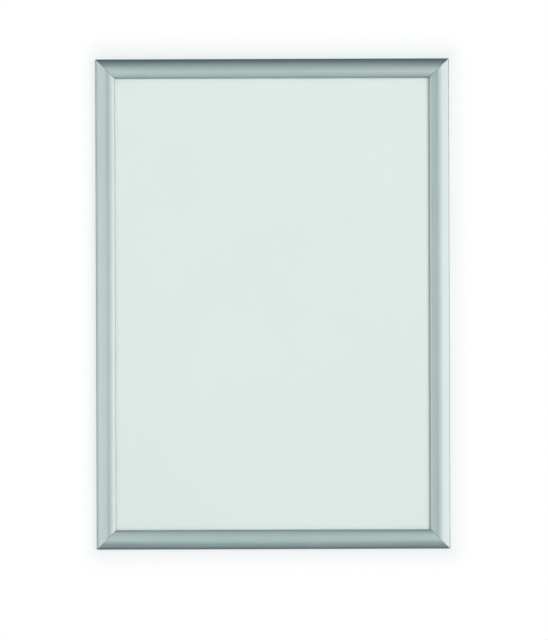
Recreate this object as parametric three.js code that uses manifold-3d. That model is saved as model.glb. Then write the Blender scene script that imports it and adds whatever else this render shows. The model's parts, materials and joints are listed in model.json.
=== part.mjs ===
import * as THREE from "three";
import { mergeVertices } from "three/addons/utils/BufferGeometryUtils.js";
import Module from "manifold-3d";

// Outdoor snap frame for one A2 poster, upright against a wall, in millimetres.
// X runs to the right, Z upwards and the front faces -Y. The wall is the plane Y = 0.
// A bar's section is drawn by two lengths: d, inwards from the frame's outer edge,
// and h, out from the wall.

// Poster, back panel and clear front sheet, all cut to one size
const POSTER_WIDTH = 420;
const POSTER_HEIGHT = 594;
const POSTER_INSET = 15; // d of the sheets' edges
const PANEL_THICKNESS = 1;
const POSTER_THICKNESS = 0.2;
const FRONT_SHEET_THICKNESS = 0.7;
const SHEET_CORNER_RADIUS = 2;
const SHEET_EDGE_GAP = 0.6;
const SHEET_FACE_GAP = 0.1;
const PANEL_FACE_GAP = 0.2;

// Base rail
const FLOOR_WALL = 1;
const KEY_SLOT_DEPTH = 2;
const WEB_WALL = 0.7;
const FLANGE_WALL = 0.7;
const GROOVE_WALL = 0.8;
const LEDGE_WIDTH = 5; // how far the base reaches under the sheets
const FLANGE_WIDTH = 3.6; // how far the flange before the panel reaches under the poster
const SLOT_SIDE_WALL = 1;
const STOP_RISE = 0.3; // of the edge stop above the front sheet
const TROUGH_WIDTH = 1.4;
const CHANNEL_WALL = 0.8;
const CHANNEL_LIP_WALL = 0.5;
const CHANNEL_LIP_REACH = 0.8;
const CHANNEL_LIP_RISE = 1.2; // of the lip's front above the hinge axis
const OUTER_WALL = 1.4;
const BASE_MITRE_GAP = 0.1;

// Hinge: the cover's bead turns in the base's open socket
const BEAD_RADIUS = 1.5;
const HINGE_GAP = 0.15;
const SOCKET_WALL = 0.65;
const NECK_WALL = 0.7;
const NECK_ANGLE = 70; // degrees, from inwards towards the front, with the cover shut
const OPEN_ANGLE = 90; // degrees
const SHELL_TO_SOCKET_GAP = 0.6;

// Snap cover
const BAR_WIDTH = 25;
const COVER_WALL = 1.2;
const COVER_EDGE_INSET = 0.8; // d of the cover's outer edge
const COVER_EDGE_WALL = 1;
const OUTER_DROP = 5.3; // from the crown's crest to the outer edge
const INNER_DROP = 3; // from the crest to the lip's corner, before it is rounded
const LIP_HEIGHT = 2.2; // of the lip's inner face, up to that corner
const LIP_WALL = 1.4;
const LIP_ROUNDING = 1.8;
const LIP_FOOT_ROUNDING = 0.3;
const SEAL_SPACE = 0.9; // between the front sheet and the lip
const COVER_MITRE_GAP = 0.2;

// Snap rib under the cover and the leaf springs that press on it
const RIB_REACH = 4.4; // from the hinge axis inwards
const RIB_DROP = 1; // of the rib's tip centre below the hinge axis
const RIB_WALL = 1;
const SPRING_LENGTH = 70;
const SPRING_THICKNESS = 0.5;
const SPRING_GAP = 0.3;
const SPRING_TIP_LENGTH = 3;
const SPRING_TIP_TURN = 25; // degrees
const LONG_SIDE_SPRINGS = 3;
const SHORT_SIDE_SPRINGS = 2;

// Seal strip, held in a slot under the lip
const SEAL_SLOT_WIDTH = 2.2;
const SEAL_MOUTH_WIDTH = 1;
const SEAL_CLAW_WALL = 0.7;
const SEAL_SIDE_WALL = 1;
const SEAL_FOOT_WALL = 0.5;
const SEAL_BULB_WIDTH = 2.6;
const SEAL_BULB_DEPTH = 0.5;
const SEAL_GAP = 0.15;
const SEAL_TO_SHEET_GAP = 0.2;

// Corner keys, their grub screws and the holes for the wall screws
const KEY_ARM = 55; // from the frame's outer edge
const KEY_SIDE_GAP = 0.2;
const KEY_CHAMFER = 1.5;
const KEY_SCREW_INSET = 42; // from the frame's outer edge
const GRUB_RADIUS = 2;
const GRUB_CHAMFER = 0.3;
const GRUB_END_GAP = 0.15;
const GRUB_SIDE_GAP = 0.3;
const HEX_SOCKET_ACROSS = 2;
const HEX_SOCKET_DEPTH = 1;
const GRUB_ACCESS_RADIUS = 1.5;
const WALL_HOLE_RADIUS = 2;

// Fineness of round stretches, in degrees a step
const CROWN_STEP = 2;
const SMALL_ARC_STEP = 15;
const HINGE_STEP = 12;
const HOLE_SIDES = 24;
const BOW_STEPS = 14;
const CUT_REACH = 1; // by which a cutting tool passes the faces that it cuts
const SAME_POINT = 1e-4;

// Finishes, as colour, roughness and metalness
const SATIN_ALUMINIUM = [0xb4c0c0, 0.38, 0.9];
const MILL_ALUMINIUM = [0xa9b2b3, 0.5, 0.9];
const ZINC = [0x9aa0a3, 0.45, 0.8];
const SPRING_STEEL = [0x6f757a, 0.35, 1];
const BLACK_STEEL = [0x2d2f31, 0.5, 0.8];
const GREY_RUBBER = [0x4a4d4f, 0.8, 0];
const PALE_PLASTIC = [0xd9dddc, 0.6, 0];
const WHITE_PAPER = [0xe6edea, 0.9, 0];
const CLEAR_PLASTIC = [0xe3ece9, 0.3, 0];

// Sizes that follow
const frameWidth = POSTER_WIDTH + 2 * POSTER_INSET;
const frameHeight = POSTER_HEIGHT + 2 * POSTER_INSET;
const baseWidth = POSTER_INSET + LEDGE_WIDTH;

const webBack = FLOOR_WALL + KEY_SLOT_DEPTH;
const webFront = webBack + WEB_WALL;
const panelBack = webFront + PANEL_FACE_GAP;
const flangeBack = panelBack + PANEL_THICKNESS + PANEL_FACE_GAP;
const flangeFront = flangeBack + FLANGE_WALL;
const posterBack = flangeFront + SHEET_FACE_GAP;
const sheetBack = posterBack + POSTER_THICKNESS + SHEET_FACE_GAP;
const sheetFront = sheetBack + FRONT_SHEET_THICKNESS;
const lipFoot = sheetFront + SEAL_SPACE;
const lipCorner = lipFoot + LIP_HEIGHT;
const crest = lipCorner + INNER_DROP;
const coverEdge = crest - OUTER_DROP;

const grooveEnd = POSTER_INSET - SHEET_EDGE_GAP;
const grooveOuter = grooveEnd - GROOVE_WALL;
const slotOuter = grooveOuter - TROUGH_WIDTH;
const channelInner = slotOuter - CHANNEL_WALL;
const slotInner = baseWidth - SLOT_SIDE_WALL;
const slotMiddle = (slotOuter + slotInner) / 2;
const channelLip = channelInner - CHANNEL_LIP_REACH;

const socketInner = BEAD_RADIUS + HINGE_GAP;
const socketOuter = socketInner + SOCKET_WALL;
const shellClearance = socketOuter + SHELL_TO_SOCKET_GAP;
const edgeToAxis = COVER_EDGE_INSET - socketOuter;
const hinge = new THREE.Vector2(
  socketOuter,
  coverEdge - COVER_EDGE_WALL - Math.sqrt(shellClearance ** 2 - edgeToAxis ** 2),
);
const channelLipFront = hinge.y + CHANNEL_LIP_RISE;
const channelLipBack = channelLipFront - CHANNEL_LIP_WALL;

const ribTip = new THREE.Vector2(hinge.x + RIB_REACH, hinge.y - RIB_DROP);
const ribSweep = Math.hypot(RIB_REACH, RIB_DROP) + RIB_WALL / 2;
const wallHoleInset = (hinge.x + socketOuter + channelLip) / 2;

const { degToRad, radToDeg } = THREE.MathUtils;

// The circle of the crown: it passes the outer edge and the lip's corner,
// and its highest point is the crest.
function crownCircle() {
  const width = BAR_WIDTH - COVER_EDGE_INSET;
  const slope = (OUTER_DROP - INNER_DROP) / width;
  const start = (width - slope * (OUTER_DROP + INNER_DROP)) / 2;
  const a = slope ** 2;
  const b = 2 * (OUTER_DROP - start * slope);
  const c = start ** 2 + OUTER_DROP ** 2;
  const radius = (2 * c) / (b + Math.sqrt(b ** 2 - 4 * a * c));
  const centre = new THREE.Vector2(COVER_EDGE_INSET + start + slope * radius, crest - radius);
  return { centre, radius };
}
const crown = crownCircle();
const crownInside = crown.radius - COVER_WALL;

function underCrown(d) {
  return crown.centre.y + Math.sqrt(crownInside ** 2 - (d - crown.centre.x) ** 2);
}

// Direction from a centre to a point, in degrees
function bearing(centre, x, y) {
  return radToDeg(Math.atan2(y - centre.y, x - centre.x));
}

function onCircle(centre, radius, degrees) {
  const angle = degToRad(degrees);
  return new THREE.Vector2(
    centre.x + radius * Math.cos(angle),
    centre.y + radius * Math.sin(angle),
  );
}

// Draws a line on to a point, unless the outline is there already
function drawTo(shape, x, y) {
  if (shape.currentPoint.distanceTo({ x, y }) > SAME_POINT) shape.lineTo(x, y);
}

// A round stretch of an outline, from one bearing to another
function sweep(shape, centre, radius, from, to, step) {
  const curve = new THREE.EllipseCurve(
    centre.x,
    centre.y,
    radius,
    radius,
    degToRad(from),
    degToRad(to),
    to < from,
  );
  const count = Math.max(2, Math.ceil(Math.abs(to - from) / step));
  for (const point of curve.getPoints(count)) drawTo(shape, point.x, point.y);
}

// Draws straight stretches through pairs of lengths
function lines(shape, pairs) {
  for (const [x, y] of pairs) drawTo(shape, x, y);
}

// Socket mouth: wide enough for the neck over the whole swing of the cover
const neckHalf = radToDeg(Math.asin(NECK_WALL / 2 / socketInner));
const gapHalf = radToDeg(HINGE_GAP / socketInner);
const mouthInner = NECK_ANGLE - neckHalf - gapHalf;
const mouthOuter = NECK_ANGLE + OPEN_ANGLE + neckHalf + gapHalf;

// Section of a base rail: socket, spring channel, panel groove and edge stop. The closed
// slot for the corner keys is cut afterwards.
function baseSection() {
  const wallFoot = hinge.y - Math.sqrt(socketOuter ** 2 - (OUTER_WALL - hinge.x) ** 2);
  const shape = new THREE.Shape();
  shape.moveTo(0, 0);
  lines(shape, [
    [baseWidth, 0],
    [baseWidth, webFront],
    [grooveEnd, webFront],
    [grooveEnd, flangeBack],
    [POSTER_INSET + FLANGE_WIDTH, flangeBack],
    [POSTER_INSET + FLANGE_WIDTH, flangeFront],
    [grooveEnd, flangeFront],
    [grooveEnd, sheetFront + STOP_RISE],
    [grooveOuter, sheetFront + STOP_RISE],
    [grooveOuter, webFront],
    [slotOuter, webFront],
    [slotOuter, channelLipFront],
    [channelLip, channelLipFront],
    [channelLip, channelLipBack],
    [channelInner, channelLipBack],
    [channelInner, FLOOR_WALL],
    [OUTER_WALL, FLOOR_WALL],
  ]);
  const foot = bearing(hinge, OUTER_WALL, wallFoot) + 360;
  sweep(shape, hinge, socketOuter, foot, mouthInner + 360, HINGE_STEP);
  sweep(shape, hinge, socketInner, mouthInner + 360, mouthOuter, HINGE_STEP);
  sweep(shape, hinge, socketOuter, mouthOuter, 180, HINGE_STEP);
  shape.closePath();
  return shape;
}

// Places of the seal's slot, measured back from the lip
const sealSlotInner = BAR_WIDTH - LIP_WALL;
const sealSlotOuter = sealSlotInner - SEAL_SLOT_WIDTH;
const sealMiddle = (sealSlotInner + sealSlotOuter) / 2;
const sealMouth = SEAL_MOUTH_WIDTH / 2;
const sealSlotFoot = lipFoot + SEAL_CLAW_WALL;

// Section of a snap cover: bead and neck, domed shell, snap rib, seal slot and lip
function coverSection() {
  const shape = new THREE.Shape();
  const beadHalf = radToDeg(Math.asin(NECK_WALL / 2 / BEAD_RADIUS));
  const start = onCircle(hinge, BEAD_RADIUS, NECK_ANGLE + beadHalf);
  shape.moveTo(start.x, start.y);
  sweep(
    shape,
    hinge,
    BEAD_RADIUS,
    NECK_ANGLE + beadHalf,
    NECK_ANGLE - beadHalf + 360,
    HINGE_STEP,
  );

  // The neck's inner side runs on until it meets the shell.
  const along = onCircle(new THREE.Vector2(), 1, NECK_ANGLE);
  const side = onCircle(hinge, NECK_WALL / 2, NECK_ANGLE - 90);
  const back = side.clone().sub(crown.centre);
  const half = back.dot(along);
  const reach = Math.sqrt(half ** 2 - back.lengthSq() + crownInside ** 2) - half;
  const root = side.addScaledVector(along, reach);

  const ribOuter = ribTip.x - RIB_WALL / 2;
  const ribInner = ribTip.x + RIB_WALL / 2;
  const underside = (fromD, toD) =>
    sweep(
      shape,
      crown.centre,
      crownInside,
      bearing(crown.centre, fromD, underCrown(fromD)),
      bearing(crown.centre, toD, underCrown(toD)),
      CROWN_STEP,
    );
  underside(root.x, ribOuter);
  sweep(shape, ribTip, RIB_WALL / 2, 180, 360, SMALL_ARC_STEP * 2);
  underside(ribInner, sealSlotOuter - SEAL_SIDE_WALL);
  lines(shape, [
    [sealSlotOuter - SEAL_SIDE_WALL, lipFoot],
    [sealMiddle - sealMouth, lipFoot],
    [sealMiddle - sealMouth, sealSlotFoot],
    [sealSlotOuter, sealSlotFoot],
  ]);
  underside(sealSlotOuter, sealSlotInner);
  lines(shape, [
    [sealSlotInner, sealSlotFoot],
    [sealMiddle + sealMouth, sealSlotFoot],
    [sealMiddle + sealMouth, lipFoot],
  ]);
  const footCentre = new THREE.Vector2(
    BAR_WIDTH - LIP_FOOT_ROUNDING,
    lipFoot + LIP_FOOT_ROUNDING,
  );
  sweep(shape, footCentre, LIP_FOOT_ROUNDING, -90, 0, SMALL_ARC_STEP * 2);

  const roundD = BAR_WIDTH - LIP_ROUNDING;
  const roundReach = crown.radius - LIP_ROUNDING;
  const roundRise = Math.sqrt(roundReach ** 2 - (roundD - crown.centre.x) ** 2);
  const roundCentre = new THREE.Vector2(roundD, crown.centre.y + roundRise);
  const tangent = bearing(crown.centre, roundCentre.x, roundCentre.y);
  sweep(shape, roundCentre, LIP_ROUNDING, 0, tangent, SMALL_ARC_STEP / 2);
  const edge = bearing(crown.centre, COVER_EDGE_INSET, coverEdge);
  sweep(shape, crown.centre, crown.radius, tangent, edge, CROWN_STEP);

  const shellEnd = radToDeg(Math.acos(edgeToAxis / shellClearance));
  const neckSide = radToDeg(Math.asin(NECK_WALL / 2 / shellClearance));
  sweep(shape, hinge, shellClearance, shellEnd, NECK_ANGLE + neckSide, HINGE_STEP);
  shape.closePath();
  return shape;
}

// Section of the seal: a foot in the cover's slot, a neck and a bulb over the sheet
function sealSection() {
  const footBack = sealSlotFoot + SEAL_GAP;
  const footHalf = SEAL_SLOT_WIDTH / 2 - SEAL_GAP;
  const neck = sealMouth - SEAL_GAP;
  const bulbFront = sheetFront + SEAL_TO_SHEET_GAP + SEAL_BULB_DEPTH;
  const bulbHalf = SEAL_BULB_WIDTH / 2;
  const bulbRadius = (bulbHalf ** 2 + SEAL_BULB_DEPTH ** 2) / (2 * SEAL_BULB_DEPTH);
  const bulbCentre = new THREE.Vector2(sealMiddle, bulbFront - SEAL_BULB_DEPTH + bulbRadius);
  const bulbSpan = radToDeg(Math.asin(bulbHalf / bulbRadius));
  const shape = new THREE.Shape();
  shape.moveTo(sealMiddle + neck, bulbFront);
  lines(shape, [
    [sealMiddle + neck, footBack],
    [sealMiddle + footHalf, footBack],
    [sealMiddle + footHalf, footBack + SEAL_FOOT_WALL],
    [sealMiddle - footHalf, footBack + SEAL_FOOT_WALL],
    [sealMiddle - footHalf, footBack],
    [sealMiddle - neck, footBack],
    [sealMiddle - neck, bulbFront],
  ]);
  sweep(shape, bulbCentre, bulbRadius, -90 - bulbSpan, -90 + bulbSpan, SMALL_ARC_STEP);
  shape.closePath();
  return shape;
}

// End of a piece that is only mitred: a plane at 45 degrees
const baseEnd = (d) => d + BASE_MITRE_GAP;

// End of a piece that swings with its cover: each point stays behind the mitre plane
// over the whole swing, so that all four covers can stand open together.
function coverEnd(d, h) {
  const reach = Math.hypot(d - hinge.x, h - hinge.y);
  const shut = bearing(hinge, d, h);
  const open = shut + OPEN_ANGLE;
  const passesAxisLevel = shut < 0 && open > 0;
  const furthest = passesAxisLevel
    ? reach
    : reach * Math.max(Math.cos(degToRad(shut)), Math.cos(degToRad(open)));
  return hinge.x + furthest + COVER_MITRE_GAP;
}

// A bar along X with mitred ends: its section is extruded, and each end is cut back
// by its own amount at every point of the outline. The outer edge is at Z = 0.
function mitredBar(section, length, endAt) {
  const bar = new THREE.ExtrudeGeometry(section, { depth: 1, bevelEnabled: false });
  const position = bar.getAttribute("position");
  for (let i = 0; i < position.count; i++) {
    const reach = length / 2 - endAt(position.getX(i), position.getY(i));
    position.setZ(i, position.getZ(i) > 0 ? reach : -reach);
  }
  const turn = new THREE.Matrix4().makeBasis(
    new THREE.Vector3(0, 0, 1),
    new THREE.Vector3(0, -1, 0),
    new THREE.Vector3(1, 0, 0),
  );
  return bar.applyMatrix4(turn);
}

const wasm = await Module();
wasm.setup();

function solidOf(geometry) {
  const bare = new THREE.BufferGeometry();
  bare.setAttribute("position", geometry.getAttribute("position"));
  if (geometry.index) bare.setIndex(geometry.index);
  const merged = mergeVertices(bare);
  return new wasm.Manifold(
    new wasm.Mesh({
      numProp: 3,
      vertProperties: new Float32Array(merged.getAttribute("position").array),
      triVerts: new Uint32Array(merged.index.array),
    }),
  );
}

function geometryOf(solid) {
  const { vertProperties, triVerts } = solid.getMesh();
  const geometry = new THREE.BufferGeometry();
  geometry.setAttribute("position", new THREE.BufferAttribute(vertProperties, 3));
  geometry.setIndex(new THREE.BufferAttribute(triVerts, 1));
  const faceted = geometry.toNonIndexed();
  faceted.computeVertexNormals();
  return faceted;
}

// A round tool through the floor of a bar, at x along it and d from its outer edge
function floorDrill(radius, x, d) {
  const drill = new THREE.CylinderGeometry(
    radius,
    radius,
    FLOOR_WALL + 2 * CUT_REACH,
    HOLE_SIDES,
  );
  return solidOf(drill.translate(x, -FLOOR_WALL / 2, d));
}

// The closed slot for the corner keys, through a bar from end to end
function keySlotTool(length) {
  const tool = new THREE.BoxGeometry(
    length + 2 * CUT_REACH,
    KEY_SLOT_DEPTH,
    slotInner - slotOuter,
  );
  return solidOf(tool.translate(0, -(FLOOR_WALL + webBack) / 2, slotMiddle));
}

// Middles of the springs along a side, and the wall holes halfway between them
function springPlaces(length, count) {
  const pitch = length / count;
  return Array.from({ length: count }, (_, i) => (i + 0.5) * pitch - length / 2);
}

function wallHolePlaces(length, count) {
  const pitch = length / count;
  return Array.from({ length: count - 1 }, (_, i) => (i + 1) * pitch - length / 2);
}

function baseRail(length, springCount) {
  let rail = solidOf(mitredBar(baseSection(), length, baseEnd));
  rail = rail.subtract(keySlotTool(length));
  for (const x of wallHolePlaces(length, springCount)) {
    rail = rail.subtract(floorDrill(WALL_HOLE_RADIUS, x, wallHoleInset));
  }
  const screwX = length / 2 - KEY_SCREW_INSET;
  for (const x of [-screwX, screwX]) {
    rail = rail.subtract(floorDrill(GRUB_ACCESS_RADIUS, x, slotMiddle));
  }
  return geometryOf(rail);
}

// A bowed strip standing in the spring channel: its middle faces the snap rib and its
// ends, turned back at the tips, lean on the channel's wall.
function snapSpring() {
  const middleD = hinge.x + ribSweep + SPRING_GAP + SPRING_THICKNESS / 2;
  const endD = channelInner - SPRING_GAP - SPRING_THICKNESS / 2;
  const bow = endD - middleD;
  const halfLength = SPRING_LENGTH / 2;
  const bowEnd = halfLength - SPRING_TIP_LENGTH;
  const tipRise = SPRING_TIP_LENGTH * Math.tan(degToRad(SPRING_TIP_TURN));
  const middleLine = [new THREE.Vector2(-halfLength, endD - tipRise)];
  for (let i = 0; i <= BOW_STEPS; i++) {
    const share = (2 * i) / BOW_STEPS - 1;
    middleLine.push(new THREE.Vector2(share * bowEnd, middleD + bow * share ** 2));
  }
  middleLine.push(new THREE.Vector2(halfLength, endD - tipRise));

  const sideOf = (offset) =>
    middleLine.map((point, i) => {
      const before = middleLine[Math.max(0, i - 1)];
      const after = middleLine[Math.min(middleLine.length - 1, i + 1)];
      const ahead = after.clone().sub(before).normalize();
      return new THREE.Vector2(point.x - ahead.y * offset, point.y + ahead.x * offset);
    });
  const half = SPRING_THICKNESS / 2;
  const shape = new THREE.Shape([...sideOf(-half), ...sideOf(half).reverse()]);
  const back = FLOOR_WALL + SPRING_GAP;
  const height = channelLipBack - SPRING_GAP - back;
  const strip = new THREE.ExtrudeGeometry(shape, { depth: height, bevelEnabled: false });
  return strip.rotateX(Math.PI / 2).translate(0, -back, 0);
}

// Flat outlines are drawn in X and Z and given a thickness out from the wall.
function plate(shape, back, thickness) {
  const slab = new THREE.ExtrudeGeometry(shape, {
    depth: thickness,
    bevelEnabled: false,
    curveSegments: 2,
  });
  return slab.rotateX(Math.PI / 2).translate(0, -back, 0);
}

function roundedRectangle(width, height, radius) {
  const x = width / 2 - radius;
  const y = height / 2 - radius;
  const shape = new THREE.Shape();
  shape.moveTo(x + radius, -y);
  sweep(shape, new THREE.Vector2(x, y), radius, 0, 90, SMALL_ARC_STEP);
  sweep(shape, new THREE.Vector2(-x, y), radius, 90, 180, SMALL_ARC_STEP);
  sweep(shape, new THREE.Vector2(-x, -y), radius, 180, 270, SMALL_ARC_STEP);
  sweep(shape, new THREE.Vector2(x, -y), radius, 270, 360, SMALL_ARC_STEP);
  return shape;
}

function sheet(back, thickness) {
  const outline = roundedRectangle(POSTER_WIDTH, POSTER_HEIGHT, SHEET_CORNER_RADIUS);
  return plate(outline, back, thickness);
}

const keyBack = FLOOR_WALL + KEY_SIDE_GAP;
const keyThickness = KEY_SLOT_DEPTH - 2 * KEY_SIDE_GAP;

// An L-shaped key for the lower left corner, with the corner at the origin
function cornerKey() {
  const outer = slotOuter + KEY_SIDE_GAP;
  const inner = slotInner - KEY_SIDE_GAP;
  const tip = KEY_ARM - KEY_CHAMFER;
  const shape = new THREE.Shape();
  shape.moveTo(outer + KEY_CHAMFER, outer);
  lines(shape, [
    [tip, outer],
    [KEY_ARM, outer + KEY_CHAMFER],
    [KEY_ARM, inner - KEY_CHAMFER],
    [tip, inner],
    [inner, inner],
    [inner, tip],
    [inner - KEY_CHAMFER, KEY_ARM],
    [outer + KEY_CHAMFER, KEY_ARM],
    [outer, tip],
    [outer, outer + KEY_CHAMFER],
  ]);
  shape.closePath();
  for (const [x, y] of [
    [KEY_SCREW_INSET, slotMiddle],
    [slotMiddle, KEY_SCREW_INSET],
  ]) {
    const hole = new THREE.Path();
    hole.moveTo(x + GRUB_RADIUS + GRUB_SIDE_GAP, y);
    sweep(
      hole,
      new THREE.Vector2(x, y),
      GRUB_RADIUS + GRUB_SIDE_GAP,
      0,
      360,
      360 / HOLE_SIDES,
    );
    shape.holes.push(hole);
  }
  return plate(shape, keyBack, keyThickness);
}

// A grub screw standing in its key, with a hexagon socket towards the wall
function grubScrew() {
  const length = KEY_SLOT_DEPTH - 2 * GRUB_END_GAP;
  const body = new THREE.LatheGeometry(
    [
      new THREE.Vector2(0, 0),
      new THREE.Vector2(GRUB_RADIUS - GRUB_CHAMFER, 0),
      new THREE.Vector2(GRUB_RADIUS, GRUB_CHAMFER),
      new THREE.Vector2(GRUB_RADIUS, length - GRUB_CHAMFER),
      new THREE.Vector2(GRUB_RADIUS - GRUB_CHAMFER, length),
      new THREE.Vector2(0, length),
    ],
    HOLE_SIDES,
  );
  const hexRadius = HEX_SOCKET_ACROSS / Math.sqrt(3);
  const socket = new THREE.CylinderGeometry(
    hexRadius,
    hexRadius,
    HEX_SOCKET_DEPTH + CUT_REACH,
    6,
  );
  socket.translate(0, length - HEX_SOCKET_DEPTH / 2 + CUT_REACH / 2, 0);
  const screw = solidOf(body).subtract(solidOf(socket));
  return geometryOf(screw).translate(0, -FLOOR_WALL - GRUB_END_GAP - length, 0);
}

function piece(name, geometry, [color, roughness, metalness]) {
  const mesh = new THREE.Mesh(
    geometry,
    new THREE.MeshStandardMaterial({ color, roughness, metalness }),
  );
  mesh.name = name;
  return mesh;
}

// One side of the frame, built as the lower one: its rail, springs, cover and seal
function frameSide(side, length, springCount) {
  const group = new THREE.Group();
  group.add(piece("base_rail_" + side, baseRail(length, springCount), MILL_ALUMINIUM));
  springPlaces(length, springCount).forEach((x, i) => {
    const spring = piece("snap_spring_" + side + "_" + (i + 1), snapSpring(), SPRING_STEEL);
    spring.position.x = x;
    group.add(spring);
  });
  const cover = mitredBar(coverSection(), length, coverEnd);
  group.add(piece("snap_cover_" + side, cover, SATIN_ALUMINIUM));
  const seal = mitredBar(sealSection(), length, coverEnd);
  group.add(piece("seal_" + side, seal, GREY_RUBBER));
  return group;
}

// One corner, built as the lower left one: its key and the two grub screws
function frameCorner(corner) {
  const group = new THREE.Group();
  group.add(piece("corner_key_" + corner, cornerKey(), ZINC));
  for (const [number, x, z] of [
    [1, KEY_SCREW_INSET, slotMiddle],
    [2, slotMiddle, KEY_SCREW_INSET],
  ]) {
    const screw = piece("key_screw_" + corner + "_" + number, grubScrew(), BLACK_STEEL);
    screw.position.set(x, 0, z);
    group.add(screw);
  }
  return group;
}

const frame = new THREE.Group();
const quarter = Math.PI / 2;
for (const [side, turns, length, springCount, outward] of [
  ["bottom", 0, frameWidth, SHORT_SIDE_SPRINGS, frameHeight / 2],
  ["left", 1, frameHeight, LONG_SIDE_SPRINGS, frameWidth / 2],
  ["top", 2, frameWidth, SHORT_SIDE_SPRINGS, frameHeight / 2],
  ["right", 3, frameHeight, LONG_SIDE_SPRINGS, frameWidth / 2],
]) {
  const built = frameSide(side, length, springCount);
  built.rotation.y = turns * quarter;
  built.position.set(0, 0, -outward).applyAxisAngle(new THREE.Vector3(0, 1, 0), turns * quarter);
  frame.add(built);
}
for (const [corner, turns, right, up] of [
  ["bottom_left", 0, -1, -1],
  ["top_left", 1, -1, 1],
  ["top_right", 2, 1, 1],
  ["bottom_right", 3, 1, -1],
]) {
  const built = frameCorner(corner);
  built.rotation.y = turns * quarter;
  built.position.set((right * frameWidth) / 2, 0, (up * frameHeight) / 2);
  frame.add(built);
}
frame.add(piece("back_panel", sheet(panelBack, PANEL_THICKNESS), PALE_PLASTIC));
frame.add(piece("poster_insert", sheet(posterBack, POSTER_THICKNESS), WHITE_PAPER));
frame.add(piece("front_sheet", sheet(sheetBack, FRONT_SHEET_THICKNESS), CLEAR_PLASTIC));

export default frame;
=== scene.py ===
import json
import math

import bpy
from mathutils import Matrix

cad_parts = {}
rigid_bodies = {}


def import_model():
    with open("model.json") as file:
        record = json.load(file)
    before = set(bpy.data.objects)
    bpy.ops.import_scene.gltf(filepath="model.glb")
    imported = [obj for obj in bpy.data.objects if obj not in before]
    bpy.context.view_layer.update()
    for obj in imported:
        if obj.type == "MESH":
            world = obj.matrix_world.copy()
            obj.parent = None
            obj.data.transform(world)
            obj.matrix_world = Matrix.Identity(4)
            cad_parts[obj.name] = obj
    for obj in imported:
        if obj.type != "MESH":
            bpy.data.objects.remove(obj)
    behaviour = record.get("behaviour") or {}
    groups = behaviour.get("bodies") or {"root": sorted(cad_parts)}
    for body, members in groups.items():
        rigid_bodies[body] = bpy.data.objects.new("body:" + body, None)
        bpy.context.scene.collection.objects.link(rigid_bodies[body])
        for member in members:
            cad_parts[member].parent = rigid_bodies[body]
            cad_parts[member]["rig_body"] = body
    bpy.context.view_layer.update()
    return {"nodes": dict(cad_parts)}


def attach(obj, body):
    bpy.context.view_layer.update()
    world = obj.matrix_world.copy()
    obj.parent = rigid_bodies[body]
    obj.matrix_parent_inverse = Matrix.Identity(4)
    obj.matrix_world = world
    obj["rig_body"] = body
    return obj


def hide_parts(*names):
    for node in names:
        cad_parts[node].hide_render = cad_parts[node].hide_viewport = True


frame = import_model()


# ---- Camera ----
# The frame is looked at from straight in front through a long lens, as in a catalogue. It
# stands a little above the middle of the picture and leans by a fifth of a degree.
PICTURE_WIDTH = 548  # pixels
PICTURE_HEIGHT = 640
FRAME_MIDDLE_X = 272.8
FRAME_MIDDLE_Y = 304.0
PIXEL = 0.0012715  # metres, where Y is PIXEL_LEVEL
PIXEL_LEVEL = -0.0083
FRAME_LEAN = math.radians(0.19)
RIGHT_ANGLE = math.radians(90)
LENS_LENGTH = 300.0
SENSOR_SIZE = 36.0  # along the longer side of the picture
FARTHEST_SEEN = 100.0

camera = bpy.data.objects.new("camera", bpy.data.cameras.new("camera"))
bpy.context.scene.collection.objects.link(camera)
bpy.context.scene.camera = camera
camera.data.lens = LENS_LENGTH
camera.data.sensor_width = SENSOR_SIZE
camera.data.clip_end = FARTHEST_SEEN
camera.location = (
    (PICTURE_WIDTH / 2 - FRAME_MIDDLE_X) * PIXEL,
    PIXEL_LEVEL - PICTURE_HEIGHT * PIXEL * LENS_LENGTH / SENSOR_SIZE,
    (FRAME_MIDDLE_Y - PICTURE_HEIGHT / 2) * PIXEL,
)
camera.rotation_euler = (RIGHT_ANGLE, FRAME_LEAN, 0)


# ---- Base rails ----
# Four bars of extruded aluminium, cut to 45 degrees at the corners. They lie flat on the wall
# and carry everything else. Their finish is plain natural anodising over faint die lines.
SIDES = ("bottom", "left", "top", "right")
RUN_AXIS = {"bottom": 0, "top": 0, "left": 2, "right": 2}
AXIS_NAME = {0: "level", 2: "upright"}
WELD_REACH = 1e-7
FLAT_ANGLE = math.radians(0.1)
CREASE_ANGLE = math.radians(32)
EASED_EDGE = 0.00012
EDGE_STEPS = 2

RAIL_PALE = (0.47, 0.565, 0.565, 1)
RAIL_DARK = (0.395, 0.48, 0.48, 1)
RAIL_CUT = (0.68, 0.71, 0.71, 1)
RAIL_ROUGHNESS = 0.36
RAIL_LINE_DEPTH = 3e-6

# Grains of the metal's patterns, in metres: along and across the bar, or in all directions
DIE_LINES = (0.30, 0.0003)
STREAKS = (0.50, 0.0035)
CLOUDS = 0.06
PORES = 0.00018
SAW_MARKS = (0.0004, 0.012, 0.0004)  # along x, y and z
SAWN_FROM, SAWN_FULL = 0.75, 0.95  # of a measure that is 1 on a mitre face and 0 along the bar
MOTTLE_FROM, MOTTLE_FULL = 0.3, 0.7  # of a noise that tints a surface


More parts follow.
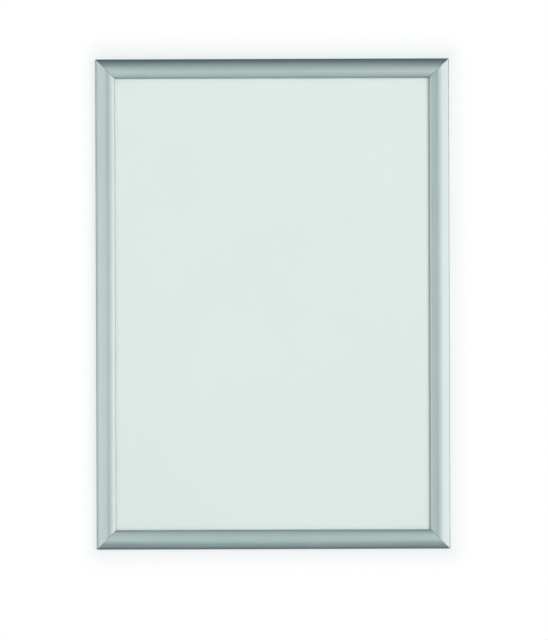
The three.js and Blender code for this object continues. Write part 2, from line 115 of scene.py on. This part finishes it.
class Shade:
    """One output in a finish. Arithmetic on it adds Math nodes."""

    def __init__(self, finish, node, output):
        self.finish = finish
        self.node = node
        self.output = output

    def socket(self):
        return self.node.outputs[self.output]

    def maths(self, operation, *values):
        names = ("Value", "Value_001")
        return self.finish.add(
            "ShaderNodeMath", {"operation": operation}, dict(zip(names, values))
        )

    def __add__(self, other):
        return self.maths("ADD", self, other)

    __radd__ = __add__

    def __sub__(self, other):
        return self.maths("SUBTRACT", self, other)

    def __rsub__(self, other):
        return self.maths("SUBTRACT", other, self)

    def __mul__(self, other):
        return self.maths("MULTIPLY", self, other)

    __rmul__ = __mul__

    def __abs__(self):
        return self.maths("ABSOLUTE", self)

    def held(self, low, high):
        """0 below low, 1 above high, and even in between."""
        return self.finish.add(
            "ShaderNodeMapRange",
            {"clamp": True},
            {"Value": self, "From Min": low, "From Max": high},
        )


class Finish:
    """The nodes of one material, or of the world."""

    def __init__(self, owner):
        owner.use_nodes = True
        self.tree = owner.node_tree
        self.tree.nodes.clear()

    def add(self, kind, settings, values, output=0):
        node = self.tree.nodes.new(kind)
        for name, value in settings.items():
            setattr(node, name, value)
        sockets = {socket.identifier: socket for socket in node.inputs}
        for name, value in values.items():
            if isinstance(value, Shade):
                self.tree.links.new(value.socket(), sockets[name])
            else:
                sockets[name].default_value = value
        return Shade(self, node, output)

    def place(self):
        """Where a point of the surface is on its piece, in metres."""
        return self.add("ShaderNodeTexCoord", {}, {}, "Object")

    def parts(self, vector):
        """The x, y and z of a vector."""
        split = self.add("ShaderNodeSeparateXYZ", {}, {"Vector": vector})
        return [Shade(self, split.node, i) for i in range(3)]

    def facing(self):
        """The x, y and z of the direction that the surface faces."""
        return self.parts(self.add("ShaderNodeTexCoord", {}, {}, "Normal"))

    def ray(self, kind):
        """1 for rays of one kind, else 0."""
        return self.add("ShaderNodeLightPath", {}, {}, f"Is {kind} Ray")

    def vector(self, operation, *values):
        names = ("Vector", "Vector_001")
        return self.add(
            "ShaderNodeVectorMath", {"operation": operation}, dict(zip(names, values))
        )

    def length(self, vector):
        return Shade(self, self.vector("LENGTH", vector).node, 1)

    def noise(self, grain, detail=2.0, wander=0.0):
        """Soft noise from 0 to 1 whose grains measure so much along x, y and z, in metres.

        The wander moves it, so that no two patterns of a finish fall together.
        """
        shifted = self.add(
            "ShaderNodeMapping",
            {},
            {
                "Vector": self.place(),
                "Location": (wander, wander, wander),
                "Scale": tuple(1 / size for size in grain),
            },
        )
        return self.add(
            "ShaderNodeTexNoise", {}, {"Vector": shifted, "Scale": 1.0, "Detail": detail}
        )

    def blend(self, share, first, second):
        """The first colour where share is 0 and the second where it is 1."""
        return self.add(
            "ShaderNodeMix",
            {"data_type": "RGBA"},
            {"Factor_Float": share, "A_Color": first, "B_Color": second},
            2,
        )

    def relief(self, height, depth):
        """A normal that follows height, where a height of 1 stands depth metres high."""
        return self.add("ShaderNodeBump", {}, {"Height": height, "Distance": depth})

    def surface(self, **values):
        """Ends the finish in one Principled shader."""
        named = {name.replace("_", " "): value for name, value in values.items()}
        self.end(self.add("ShaderNodeBsdfPrincipled", {}, named))

    def end(self, shader):
        self.add("ShaderNodeOutputMaterial", {}, {"Surface": shader})


def drawn_out(axis, run, width):
    """The grain of a pattern that is drawn out along one axis."""
    return [run if i == axis else width for i in range(3)]


def even(size):
    """The grain of a pattern that is alike in every direction."""
    return (size, size, size)


def mottled(noise):
    """0 to 1 where a noise tints a surface."""
    return noise.held(MOTTLE_FROM, MOTTLE_FULL)


def sway(middle, *noises):
    """A value that noises move about its middle, each by its own share."""
    total = middle
    for noise, share in noises:
        total = total + (noise - 0.5) * share
    return total


def cut_share(finish):
    """1 on the sawn mitre faces, which turn half way between level and upright, else 0."""
    x, _, z = finish.facing()
    return abs(x * z * 2).held(SAWN_FROM, SAWN_FULL)


def extruded_aluminium(name, axis, colours, roughness, line_depth):
    """Anodised aluminium with die lines along its axis and a sawn look on the mitre faces.

    The colour given for the mitre faces is their real sawn colour on the rails, and a painted
    shade on the covers that darkens the gaps between them.
    """
    pale, dark, cut_tone_and_gap_shade = colours
    material = bpy.data.materials.new(name)
    finish = Finish(material)
    lines = finish.noise(drawn_out(axis, *DIE_LINES), 3.0)
    streaks = finish.noise(drawn_out(axis, *STREAKS), 2.0, 3.7)
    cloud = finish.noise(even(CLOUDS), 3.0, 8.1)
    pores = finish.noise(even(PORES), 1.0, 5.3)
    saw = finish.noise(SAW_MARKS, 2.0, 1.9)
    sawn = cut_share(finish)
    tone = sway(0.5, (lines, 0.5), (streaks, 0.7), (cloud, 0.9), (pores, 0.35))
    skin = finish.blend(tone.held(0.0, 1.0), dark, pale)
    # The mitre faces' colour: real sawn metal on the rails, a painted shade for the gaps on the
    # covers
    sawn_tone_and_gap_shade = finish.blend(saw, cut_tone_and_gap_shade, pale)
    gloss = sway(roughness, (streaks, 0.05), (cloud, 0.08), (lines, 0.06)) + sawn * (saw * 0.16)
    height = (lines * 0.7 + pores * 0.3) * (1 - sawn) + saw * sawn * 3
    finish.surface(
        Base_Color=finish.blend(sawn, skin, sawn_tone_and_gap_shade),
        Metallic=0.94,
        Roughness=gloss,
        Normal=finish.relief(height, line_depth),
    )
    return material


def keep_within(piece, solid):
    """Brings points that the easing pushed out of the solid's box back to its sides."""
    corners = list(zip(*solid.bound_box))
    for vertex in piece.data.vertices:
        vertex.co = [
            min(max(value, min(ends)), max(ends)) for value, ends in zip(vertex.co, corners)
        ]


def finished_copy(node, name, eased=EASED_EDGE):
    """The node's own form with whole faces, eased edges and smooth curves, in its place."""
    piece = bpy.data.objects.new(name, frame["nodes"][node].data.copy())
    bpy.context.scene.collection.objects.link(piece)
    bpy.ops.object.select_all(action="DESELECT")
    bpy.context.view_layer.objects.active = piece
    piece.select_set(True)
    bpy.ops.mesh.customdata_custom_splitnormals_clear()
    bpy.ops.object.mode_set(mode="EDIT")
    bpy.ops.mesh.select_mode(type="EDGE")
    bpy.ops.mesh.select_all(action="SELECT")
    bpy.ops.mesh.remove_doubles(threshold=WELD_REACH)
    bpy.ops.mesh.dissolve_limited(angle_limit=FLAT_ANGLE)
    bpy.ops.mesh.select_all(action="DESELECT")
    bpy.ops.mesh.edges_select_sharp(sharpness=CREASE_ANGLE)
    bpy.ops.mesh.bevel(offset=eased, segments=EDGE_STEPS, clamp_overlap=False)
    bpy.ops.object.mode_set(mode="OBJECT")
    keep_within(piece, frame["nodes"][node])
    bpy.ops.object.shade_smooth_by_angle(angle=CREASE_ANGLE)
    piece.modifiers.new("flat_faces", "WEIGHTED_NORMAL").keep_sharp = True
    bpy.ops.object.modifier_apply(modifier="flat_faces")
    body = frame["nodes"][node]["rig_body"]
    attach(piece, body)
    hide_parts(node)
    return piece


def dress(piece, material):
    """Gives the piece one material all over."""
    piece.data.materials.clear()
    piece.data.materials.append(material)


rail_finish = {
    axis: extruded_aluminium(
        f"natural_anodising_{word}",
        axis,
        (RAIL_PALE, RAIL_DARK, RAIL_CUT),
        RAIL_ROUGHNESS,
        RAIL_LINE_DEPTH,
    )
    for axis, word in AXIS_NAME.items()
}
for side in SIDES:
    rail = finished_copy(f"base_rail_{side}", f"base_rail_{side}_extrusion")
    dress(rail, rail_finish[RUN_AXIS[side]])


# ---- Corner keys ----
# Flat elbows of zinc-plated steel strip, pushed into the slots of two rails to join them. The
# plating is dull and mottled, with a fine grain.
CORNERS = ("bottom_left", "top_left", "top_right", "bottom_right")
ZINC_PALE = (0.42, 0.44, 0.46, 1)
ZINC_DARK = (0.25, 0.265, 0.28, 1)
ZINC_DEPTH = 8e-6

zinc = bpy.data.materials.new("zinc_plating")
finish = Finish(zinc)
bloom = finish.noise((0.009, 0.006, 0.009), 4.0)
grain = finish.noise(even(0.0005), 2.0, 2.2)
finish.surface(
    Base_Color=finish.blend(mottled(bloom * 0.7 + grain * 0.3), ZINC_DARK, ZINC_PALE),
    Metallic=0.85,
    Roughness=0.42 + grain * 0.2 + bloom * 0.1,
    Normal=finish.relief(grain + bloom * 2, ZINC_DEPTH),
)
for corner in CORNERS:
    key = finished_copy(f"corner_key_{corner}", f"corner_key_{corner}_elbow")
    dress(key, zinc)


# ---- Key screws ----
# Grub screws of blackened steel with a hexagon socket. Two of them lock each corner key, and
# they are reached through small holes in the back of the rails.
OXIDE_BLACK = (0.018, 0.018, 0.02, 1)
OXIDE_WORN = (0.11, 0.105, 0.10, 1)
OXIDE_DEPTH = 1e-5
WORN_FROM, WORN_FULL = 0.55, 0.8
SCREW_EASED_EDGE = 0.00006

oxide = bpy.data.materials.new("black_oxide_steel")
finish = Finish(oxide)
wear = finish.noise(even(0.0006), 3.0)
finish.surface(
    Base_Color=finish.blend(wear.held(WORN_FROM, WORN_FULL), OXIDE_BLACK, OXIDE_WORN),
    Metallic=0.75,
    Roughness=0.34 + wear * 0.22,
    Normal=finish.relief(wear, OXIDE_DEPTH),
)
for corner in CORNERS:
    for number in (1, 2):
        node = f"key_screw_{corner}_{number}"
        screw = finished_copy(node, f"{node}_hardened", SCREW_EASED_EDGE)
        dress(screw, oxide)


# ---- Snap springs ----
# Bowed strips of blue-grey spring steel. They sit in the channels of the rails and press on
# the covers' ribs, so that a cover snaps shut and stays up when it is opened.
STEEL_PALE = (0.30, 0.315, 0.33, 1)
STEEL_BLUE = (0.13, 0.15, 0.185, 1)
STEEL_DEPTH = 5e-6
SPRING_EASED_EDGE = 0.00008
SPRING_COUNT = {"bottom": 2, "left": 3, "top": 2, "right": 3}

spring_steel = {}
for axis, word in AXIS_NAME.items():
    spring_steel[axis] = bpy.data.materials.new(f"spring_steel_{word}")
    finish = Finish(spring_steel[axis])
    rolling = finish.noise(drawn_out(axis, 0.02, 0.00025), 3.0)
    temper = finish.noise(drawn_out(axis, 0.014, 0.006), 2.0, 4.4)
    finish.surface(
        Base_Color=finish.blend(mottled(rolling * 0.5 + temper * 0.5), STEEL_BLUE, STEEL_PALE),
        Metallic=0.95,
        Roughness=0.26 + rolling * 0.14,
        Normal=finish.relief(rolling, STEEL_DEPTH),
    )
for side in SIDES:
    for number in range(1, SPRING_COUNT[side] + 1):
        node = f"snap_spring_{side}_{number}"
        spring = finished_copy(node, f"{node}_strip", SPRING_EASED_EDGE)
        dress(spring, spring_steel[RUN_AXIS[side]])


# ---- Back panel ----
# One sheet of pale grey plastic, 1 mm thick, that closes the back and stiffens the poster.
# It is an extruded sheet: faintly dimpled, with weak flow lines from top to bottom.
PANEL_PALE = (0.76, 0.80, 0.80, 1)
PANEL_GREY = (0.69, 0.73, 0.735, 1)
PANEL_DEPTH = 3e-5

panel_plastic = bpy.data.materials.new("panel_plastic")
finish = Finish(panel_plastic)
dimples = finish.noise(even(0.0016), 2.0)
flow = finish.noise((0.02, 0.02, 0.45), 2.0, 6.5)
dust = finish.noise(even(0.05), 4.0, 2.8)
tint = mottled(dimples * 0.2 + flow * 0.4 + dust * 0.4)
finish.surface(
    Base_Color=finish.blend(tint, PANEL_GREY, PANEL_PALE),
    Roughness=0.46 + dimples * 0.12 + dust * 0.08,
    Normal=finish.relief(dimples + flow * 0.4, PANEL_DEPTH),
)
dress(frame["nodes"]["back_panel"], panel_plastic)


# ---- Poster insert ----
# The blank sheet of white poster paper that fills the frame. Coated stock: nearly smooth, with
# a fine fibre grain and very slight long waves.
PAPER_WHITE = (0.86, 0.91, 0.878, 1)
PAPER_SHADE = (0.83, 0.885, 0.853, 1)
PAPER_DEPTH = 1.5e-4

paper = bpy.data.materials.new("poster_paper")
finish = Finish(paper)
fibre = finish.noise(even(0.0007), 4.0)
wave = finish.noise((0.11, 0.11, 0.16), 1.0, 9.2)
finish.surface(
    Base_Color=finish.blend(mottled(fibre * 0.5 + wave * 0.5), PAPER_SHADE, PAPER_WHITE),
    Roughness=0.55 + fibre * 0.1,
    Normal=finish.relief(fibre * 0.02 + wave, PAPER_DEPTH),
)
dress(frame["nodes"]["poster_insert"], paper)


# ---- Front sheet ----
# A clear plastic sheet, 0.7 mm thick, that keeps rain off the poster. Its faces are almost
# clear with a light satin shine, and its sawn edges look pale and milky.
SHEET_TINT = (0.90, 0.93, 0.925, 1)
SHEET_EDGE = (0.70, 0.80, 0.79, 1)
SHEET_DEPTH = 2e-5
SCUFFED_FROM, SCUFFED_FULL = 0.62, 0.8
FACE_FROM, FACE_FULL = 0.5, 0.9  # of the share by which a surface faces front or back
RIM_BLEND = 0.12

clear_plastic = bpy.data.materials.new("clear_plastic")
finish = Finish(clear_plastic)
ripple = finish.noise((0.035, 0.035, 0.05), 2.0, 1.3)
scuffs = finish.noise((0.004, 0.0004, 0.0006), 3.0, 7.7)
_, out, _ = finish.facing()
edge = 1 - abs(out).held(FACE_FROM, FACE_FULL)
film = finish.add(
    "ShaderNodeBsdfPrincipled",
    {},
    {
        "Base Color": finish.blend(edge, SHEET_TINT, SHEET_EDGE),
        "Roughness": 0.16 + ripple * 0.06 + scuffs.held(SCUFFED_FROM, SCUFFED_FULL) * 0.12,
        "Normal": finish.relief(ripple, SHEET_DEPTH),
    },
)
rim = finish.add("ShaderNodeLayerWeight", {}, {"Blend": RIM_BLEND}, "Fresnel")
finish.end(
    finish.add(
        "ShaderNodeMixShader",
        {},
        {
            "Fac": (rim * 0.5 + 0.04 + edge * 0.7).held(0.0, 1.0),
            "Shader": finish.add("ShaderNodeBsdfTransparent", {}, {}),
            "Shader_001": film,
        },
    )
)
dress(frame["nodes"]["front_sheet"], clear_plastic)


# ---- Snap covers ----
# Four crowned covers of the same extrusion, etched and anodised to a cool silver satin. Each
# one hinges on a bead along its outer edge and lifts away for a change of poster.
SATIN_PALE = (0.455, 0.524, 0.510, 1)
SATIN_DARK = (0.401, 0.461, 0.449, 1)
# Painted shade: the covers' mitre faces are dark, so that the gaps between the covers show as dark
# lines
SATIN_CUT_PAINTED_SHADE = (0.24, 0.27, 0.27, 1)
SATIN_ROUGHNESS = 0.30
SATIN_LINE_DEPTH = 1.5e-6
COVER_EASED_EDGE = 0.00006

satin_finish = {
    axis: extruded_aluminium(
        f"satin_anodising_{word}",
        axis,
        (SATIN_PALE, SATIN_DARK, SATIN_CUT_PAINTED_SHADE),
        SATIN_ROUGHNESS,
        SATIN_LINE_DEPTH,
    )
    for axis, word in AXIS_NAME.items()
}
for side in SIDES:
    node = f"snap_cover_{side}"
    cover = finished_copy(node, f"{node}_extrusion", COVER_EASED_EDGE)
    dress(cover, satin_finish[RUN_AXIS[side]])


# ---- Seals ----
# Strips of grey rubber pressed into a slot under each cover's lip. Shut, they rest close over
# the front sheet and keep water out. The rubber is dull, with a pale bloom.
RUBBER_GREY = (0.060, 0.074, 0.078, 1)
RUBBER_BLOOM = (0.112, 0.132, 0.137, 1)
RUBBER_DEPTH = 6e-6
BLOOM_FROM, BLOOM_FULL = 0.35, 0.7
SEAL_EASED_EDGE = 0.00005

rubber = {}
for axis, word in AXIS_NAME.items():
    rubber[axis] = bpy.data.materials.new(f"seal_rubber_{word}")
    finish = Finish(rubber[axis])
    drawn = finish.noise(drawn_out(axis, 0.05, 0.0003), 2.0)
    bloom = finish.noise(even(0.012), 4.0, 3.1)
    tint = (bloom * 0.7 + drawn * 0.3).held(BLOOM_FROM, BLOOM_FULL)
    finish.surface(
        Base_Color=finish.blend(tint, RUBBER_GREY, RUBBER_BLOOM),
        Roughness=0.62 + bloom * 0.2,
        Normal=finish.relief(drawn, RUBBER_DEPTH),
    )
for side in SIDES:
    seal = finished_copy(f"seal_{side}", f"seal_{side}_strip", SEAL_EASED_EDGE)
    dress(seal, rubber[RUN_AXIS[side]])


# ---- Studio ----
# A white wall behind the frame and a pale floor well below it, under broad soft lamps. The wall
# is open behind the frame, and the camera sees through both from their backs. Close round the
# frame the wall's glow is painted greyer, a painted shade. The metal mirrors the wall darker
# above and below the frame, and brighter beside it, than it looks: a painted reflection.
WALL_GAP = 0.0003
WALL_OPENING = (0.444, 0.618)
WALL_SIZE = (9.0, 3.2)
WALL_WHITE = (0.225, 0.24, 0.237, 1)
BLACK = (0, 0, 0, 1)
WALL_GLOW = 0.80
GLOW_WHITE = (1.03, 1.0, 1.0, 1)
# Painted shade: the colour that the wall's glow turns to close round the frame
GLOW_PAINTED_SHADE = (0.825, 0.86, 0.855, 1)  # close round the frame
PAINTED_SHADE_HALF = (0.219, 0, 0.312)
PAINTED_SHADE_MIDDLE = (0.003, 0, 0.002)
PAINTED_SHADE_REACH = 0.045
FRAME_HALF_WIDTH = 0.225
FRAME_HALF_HEIGHT = 0.312
SOFT_STEP = 0.001  # over which a band of the wall begins
# Painted reflection: the shares by which what the metal mirrors of the wall is darker above and
# below the frame, and brighter beside it
OVER_DIMMING = 0.9  # of what the metal mirrors above and below the frame
ASIDE_GAIN = 0.7  # of what it mirrors beside the frame

FLOOR_LEVEL = -1.4
FLOOR_SIZE = 60.0
FLOOR_COLOUR = (0.72, 0.74, 0.74, 1)
FLOOR_GLOW = 0.275
FLOOR_GLOW_FROM, FLOOR_GLOW_FULL = 1.0, 7.0  # metres from the frame
FLOOR_LIFT = 0.42  # for the camera alone

bpy.ops.mesh.primitive_plane_add(
    size=1, location=(0, WALL_GAP, 0), rotation=(RIGHT_ANGLE, 0, 0)
)
wall = bpy.context.active_object
wall.name = "wall"
wall.scale = (*WALL_OPENING, 1)
bpy.ops.object.transform_apply()
bpy.ops.object.mode_set(mode="EDIT")
bpy.ops.mesh.select_mode(type="EDGE")
bpy.ops.mesh.select_all(action="SELECT")
bpy.ops.mesh.extrude_edges_move()
bpy.ops.transform.resize(
    value=(WALL_SIZE[0] / WALL_OPENING[0], 1, WALL_SIZE[1] / WALL_OPENING[1])
)
bpy.ops.object.mode_set(mode="OBJECT")
opening = [
    face
    for face in wall.data.polygons
    if all(abs(wall.data.vertices[i].co.x) < WALL_OPENING[0] for i in face.vertices)
]
for item in (*wall.data.vertices, *wall.data.edges, *wall.data.polygons):
    item.select = False
for face in opening:
    face.select = True
bpy.ops.object.mode_set(mode="EDIT")
bpy.ops.mesh.select_mode(type="FACE")
bpy.ops.mesh.delete(type="ONLY_FACE")
bpy.ops.mesh.select_all(action="SELECT")
bpy.ops.mesh.normals_make_consistent(inside=False)
bpy.ops.object.mode_set(mode="OBJECT")
if wall.data.polygons[0].normal.y > 0:
    wall.data.flip_normals()


def open_from_behind(finish, matt, glow):
    """Ends a finish of paint that also glows, and that the camera sees through from its back."""
    behind = finish.add("ShaderNodeNewGeometry", {}, {}, "Backfacing")
    values = {
        "Fac": behind * finish.ray("Camera"),
        "Shader": finish.add("ShaderNodeAddShader", {}, {"Shader": matt, "Shader_001": glow}),
        "Shader_001": finish.add("ShaderNodeBsdfTransparent", {}, {}),
    }
    finish.end(finish.add("ShaderNodeMixShader", {}, values))


wall_paint = bpy.data.materials.new("wall_paint")
finish = Finish(wall_paint)
seen, mirrored, shone_through = [finish.ray(kind) for kind in ("Camera", "Glossy", "Transmission")]
# Painted shade: the wall's glow turns greyer close round the frame, and the metal mirrors the wall
# darker above and below the frame and brighter beside it, a painted reflection
shifted = finish.vector("SUBTRACT", finish.place(), PAINTED_SHADE_MIDDLE)
beside = finish.vector("SUBTRACT", finish.vector("ABSOLUTE", shifted), PAINTED_SHADE_HALF)
painted_shade_nearness = 1 - finish.length(finish.vector("MAXIMUM", beside, (0, 0, 0))).held(0.0, PAINTED_SHADE_REACH)
x, _, z = finish.parts(finish.place())
over = abs(z).held(FRAME_HALF_HEIGHT - SOFT_STEP, FRAME_HALF_HEIGHT)
aside = abs(x).held(FRAME_HALF_WIDTH - SOFT_STEP, FRAME_HALF_WIDTH)
painted_reflection_dimmed = mirrored * over * OVER_DIMMING
painted_reflection_gained = mirrored * aside * (1 - over) * ASIDE_GAIN
matt = finish.add(
    "ShaderNodeBsdfDiffuse", {}, {"Color": finish.blend(painted_reflection_dimmed, WALL_WHITE, BLACK)}
)
glow = finish.add(
    "ShaderNodeEmission",
    {},
    {
        "Color": finish.blend(painted_shade_nearness * painted_shade_nearness, GLOW_WHITE, GLOW_PAINTED_SHADE),
        "Strength": (seen + mirrored + shone_through + painted_reflection_gained - painted_reflection_dimmed) * WALL_GLOW,
    },
)
open_from_behind(finish, matt, glow)
dress(wall, wall_paint)

bpy.ops.mesh.primitive_plane_add(size=FLOOR_SIZE, location=(0, 0, FLOOR_LEVEL))
floor = bpy.context.active_object
floor.name = "floor"
floor_paint = bpy.data.materials.new("floor_paint")
finish = Finish(floor_paint)
far_off = finish.length(finish.place()).held(FLOOR_GLOW_FROM, FLOOR_GLOW_FULL)
strength = far_off * FLOOR_GLOW + finish.ray("Camera") * FLOOR_LIFT
matt = finish.add("ShaderNodeBsdfDiffuse", {}, {"Color": FLOOR_COLOUR})
glow = finish.add("ShaderNodeEmission", {}, {"Strength": strength})
open_from_behind(finish, matt, glow)
dress(floor, floor_paint)

# Lamps round the frame: degrees to the right and up as the camera sees them, distance, size,
# brightness and colour
FAR = 2.0
NEAR = 1.0
NEAR_FLOOR = 1.35
TALL = (0.70, 2.0)
SLIM = (0.35, 1.4)
BROAD = (0.80, 0.70)
SMALL = (0.70, 0.70)
LARGE = (1.60, 1.60)
LOW = (0.65, 0.45)
WARM = (1.07, 1.0, 1.01)
EVEN = (1.0, 1.0, 1.0)
COOL = (0.88, 1.0, 1.03)
TEAL = (0.99, 1.0, 1.0)
DEEP = (0.80, 1.0, 1.06)
LAMPS = {
    "right_20": (20, 0, FAR, TALL, 0.92, EVEN),
    "right_40": (40, 0, FAR, TALL, 1.38, WARM),
    "right_60": (60, 0, FAR, TALL, 1.34, WARM),
    "right_80": (80, 0, FAR, TALL, 1.46, WARM),
    "left_20": (-20, 0, FAR, TALL, 0.60, EVEN),
    "left_80": (-80, 0, FAR, TALL, 0.40, EVEN),
    "near_left_25": (-25, 0, NEAR, SLIM, 0.30, TEAL),
    "near_left_45": (-45, 0, NEAR, SLIM, 0.90, TEAL),
    "near_left_65": (-65, 0, NEAR, SLIM, 0.97, TEAL),
    "front": (0, 0, FAR, SMALL, 0.73, COOL),
    "front_high": (0, 25, FAR, BROAD, 0.55, COOL),
    "front_low": (0, -25, FAR, BROAD, 0.66, COOL),
    "high": (0, 45, FAR, BROAD, 0.34, COOL),
    "higher": (0, 65, FAR, BROAD, 0.12, DEEP),
    "low": (0, -45, FAR, BROAD, 0.85, COOL),
    "lower": (0, -58, NEAR_FLOOR, LOW, 0.28, COOL),
    "lowest": (0, -70, NEAR_FLOOR, LOW, 0.22, DEEP),
    "back": (150, 25, FAR, LARGE, 2.6, EVEN),
    "back_left": (-140, 10, FAR, LARGE, 1.2, EVEN),
}
# These show in shiny surfaces and light nothing matt
MIRRORED_ONLY = (
    "right_40",
    "right_60",
    "right_80",
    "left_20",
    "left_80",
    "near_left_25",
    "near_left_45",
    "near_left_65",
)
for name, (turn, rise, reach, size, brightness, colour) in LAMPS.items():
    light = bpy.data.lights.new(f"lamp_{name}", "AREA")
    light.shape = "RECTANGLE"
    light.size, light.size_y = size
    light.energy = brightness * math.pi * size[0] * size[1]
    light.color = colour
    lamp = bpy.data.objects.new(f"lamp_{name}", light)
    bpy.context.scene.collection.objects.link(lamp)
    turn, rise = math.radians(turn), math.radians(rise)
    lamp.location = (
        reach * math.sin(turn) * math.cos(rise),
        -reach * math.cos(turn) * math.cos(rise),
        reach * math.sin(rise),
    )
    lamp.rotation_euler = (-lamp.location).to_track_quat("-Z", "Y").to_euler()
    lamp.visible_camera = False
    lamp.visible_diffuse = name not in MIRRORED_ONLY

# One wide light from the right falls on the matt surfaces and doesn't show in shiny ones
SIDE_LIGHT_STRENGTH = 2.27
SIDE_LIGHT_COLOUR = (1.05, 1.0, 0.99)
SIDE_LIGHT_SPREAD = math.radians(30)
SIDE_LIGHT_TURN = math.radians(38)

side_light = bpy.data.lights.new("side_light", "SUN")
side_light.energy = SIDE_LIGHT_STRENGTH
side_light.color = SIDE_LIGHT_COLOUR
side_light.angle = SIDE_LIGHT_SPREAD
side_lamp = bpy.data.objects.new("side_light", side_light)
bpy.context.scene.collection.objects.link(side_lamp)
side_lamp.rotation_euler = (RIGHT_ANGLE, 0, SIDE_LIGHT_TURN)
side_lamp.visible_glossy = False
side_lamp.visible_camera = False

SKY_SEEN = (0.90, 0.92, 0.92, 1)
SKY_EVEN = (0.297, 0.345, 0.35, 1)
SKY_TOP = (0.12, 0.20, 0.225, 1)
SKY_TOP_FROM = 0.7

world = bpy.data.worlds.new("studio")
bpy.context.scene.world = world
finish = Finish(world)
_, _, rise = finish.parts(finish.add("ShaderNodeTexCoord", {}, {}, "Generated"))
sky = finish.blend(rise.held(SKY_TOP_FROM, 1.0), SKY_EVEN, SKY_TOP)
colour = finish.blend(finish.ray("Camera"), sky, SKY_SEEN)
backdrop = finish.add("ShaderNodeBackground", {}, {"Color": colour, "Strength": 1.0})
finish.add("ShaderNodeOutputWorld", {}, {"Surface": backdrop})

bpy.context.scene.view_settings.view_transform = "Standard"

bpy.context.view_layer.update()
